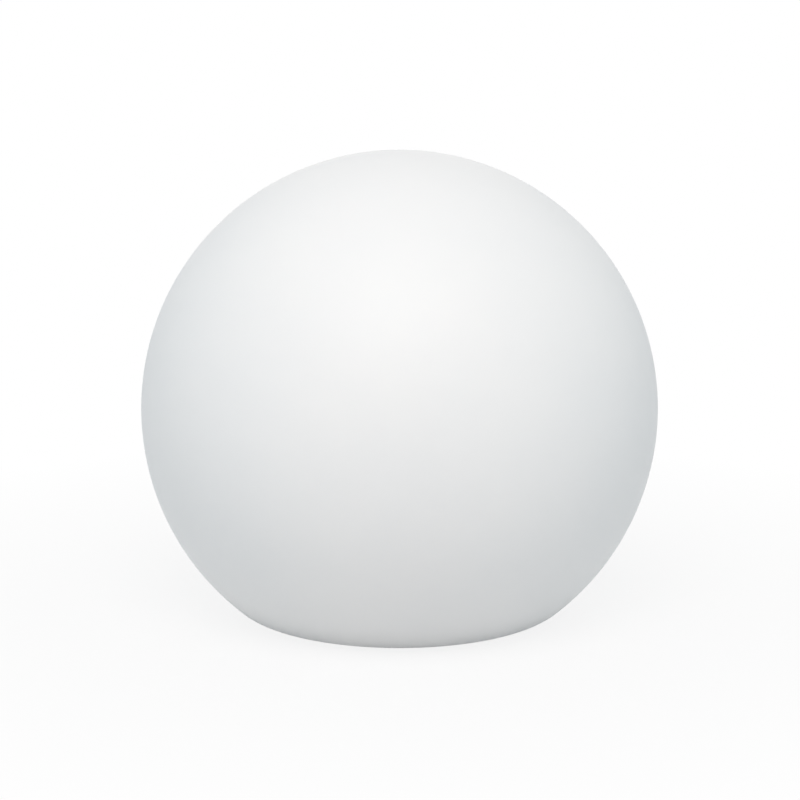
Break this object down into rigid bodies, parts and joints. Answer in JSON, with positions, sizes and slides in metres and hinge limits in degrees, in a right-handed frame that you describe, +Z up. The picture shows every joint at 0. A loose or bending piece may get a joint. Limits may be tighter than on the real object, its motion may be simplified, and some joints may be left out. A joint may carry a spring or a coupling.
{
  "type": "garden globe light",
  "caption": "White moulded garden globe on a flat foot, which lifts off a rechargeable lamp base with a power button and covered charging socket underneath.",
  "frame": {"origin": "on the ground under the rubber feet, on the globe's vertical axis", "axes": "+Z up through the top of the globe, +X from the power button to the charging socket, -Y towards the viewer of the picture"},
  "size_m": [0.3, 0.3, 0.27],
  "materials": {
    "globe": "moulded white polyethylene, satin, lets light through",
    "housing": "moulded charcoal plastic, fine spark texture",
    "neck": "moulded white plastic, smooth",
    "cradle": "moulded black plastic",
    "brass": "turned brass",
    "stainless": "stainless steel, plain",
    "silicone": "black silicone rubber",
    "feet": "black rubber",
    "button": "pale grey silicone cap",
    "plunger": "natural nylon",
    "tongue": "black moulded contact block",
    "light_pipe": "clear moulded plastic",
    "board_green": "green solder mask on glass laminate",
    "board_white": "white solder mask on aluminium",
    "ferrite": "grey ferrite",
    "can": "aluminium can",
    "led_body": "white moulded package",
    "phosphor": "yellow phosphor fill",
    "cell_wrap": "blue shrink sleeve",
    "nickel": "nickel plated",
    "heat_plate": "die cast aluminium",
    "diffuser": "opal polycarbonate",
    "lead_red": "red insulation",
    "lead_black": "black insulation"
  },
  "bodies": {
    "base": {"base_housing": "housing", "base_cover": "housing", "dome_ring": "neck", "battery_cradle": "cradle", "battery_clamp": "cradle", "switch_body": "cradle", "driver_chips": "cradle", "breather_vent": "cradle", "cover_screws": "stainless", "clip_screws": "stainless", "control_board_screws": "stainless", "clamp_screws": "stainless", "cradle_screws": "stainless", "led_board_screws": "stainless", "dome_ring_screws": "stainless", "spring_clips": "stainless", "charge_socket": "stainless", "seat_gasket": "silicone", "cover_seal": "silicone", "button_seal": "silicone", "dome_seal": "silicone", "port_cover_anchor": "silicone", "rubber_feet": "feet", "board_headers": "plunger", "lead_plugs": "plunger", "socket_tongue": "tongue", "light_pipe": "light_pipe", "control_board": "board_green", "led_board": "board_white", "power_inductor": "ferrite", "capacitors": "can", "led_packages": "led_body", "indicator_led": "led_body", "led_emitters": "phosphor", "battery_cells": "cell_wrap", "cell_terminals": "nickel", "nickel_strips": "nickel", "heat_plate": "heat_plate", "lens_dome": "diffuser", "battery_lead_positive": "lead_red", "led_lead_positive": "lead_red", "battery_lead_negative": "lead_black", "led_lead_negative": "lead_black"},
    "globe": {"globe_shell": "globe", "threaded_inserts": "brass", "neck_ring": "neck", "neck_ring_screws": "stainless"},
    "power_button": {"power_button": "button", "switch_plunger": "plunger"},
    "port_cover": {"port_cover": "silicone"}
  },
  "joints": [
    {"name": "globe_lift", "type": "slide", "parent": "base", "child": "globe", "axis": [0, 0, 1], "range_m": [0, 0.1]},
    {"name": "power_press", "type": "slide", "parent": "base", "child": "power_button", "axis": [0, 0, 1], "range_m": [0, 0.0008], "stiffness_N_per_m": 1500, "springref_m": -0.0004},
    {"name": "port_cover_flap", "type": "hinge", "parent": "base", "child": "port_cover", "pos_m": [0.0223, 0, 0.0086], "axis": [0, -1, 0], "range_deg": [0, 100]}
  ]
}
